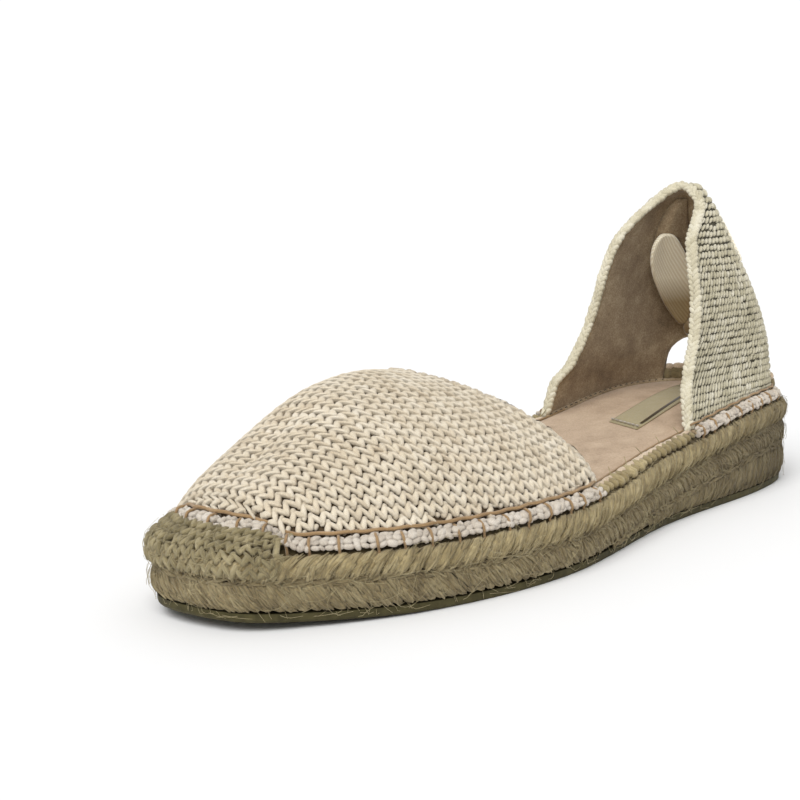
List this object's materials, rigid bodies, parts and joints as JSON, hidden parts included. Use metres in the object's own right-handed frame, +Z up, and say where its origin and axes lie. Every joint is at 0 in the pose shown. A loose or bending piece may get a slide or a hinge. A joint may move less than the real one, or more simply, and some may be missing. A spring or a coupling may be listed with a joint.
{
  "type": "lace-up espadrille",
  "caption": "Left flat espadrille with a jute rope sole, a knitted closed toe, an open waist and a pointed canvas heel band that holds a ribbon lace.",
  "frame": {"origin": "on the floor, at the middle of the shoe's length and width", "axes": "+X along the shoe from heel to toe, +Y to the wearer's left, which is the outer side of this left shoe, +Z up"},
  "size_m": [0.25, 0.0874, 0.1005],
  "materials": {
    "jute": "braided natural jute rope with loose fibres",
    "rubber": "matt dark olive rubber",
    "insole_suede": "pinkish beige brushed microsuede",
    "cotton_knit": "cream cotton cord knit",
    "canvas": "cream and grey basket-weave canvas with a taupe suede lining",
    "ribbon": "cream ribbed cotton ribbon with a soft sheen"
  },
  "bodies": {
    "root": {"outsole": "rubber", "heel_wedge": "jute", "sole_lower_braid": "jute", "sole_upper_braid": "jute", "insole": "insole_suede", "vamp": "cotton_knit", "toe_patch": "jute", "heel_band": "canvas", "ribbon_crossing": "ribbon", "ribbon_loop": "ribbon"}
  },
  "joints": []
}
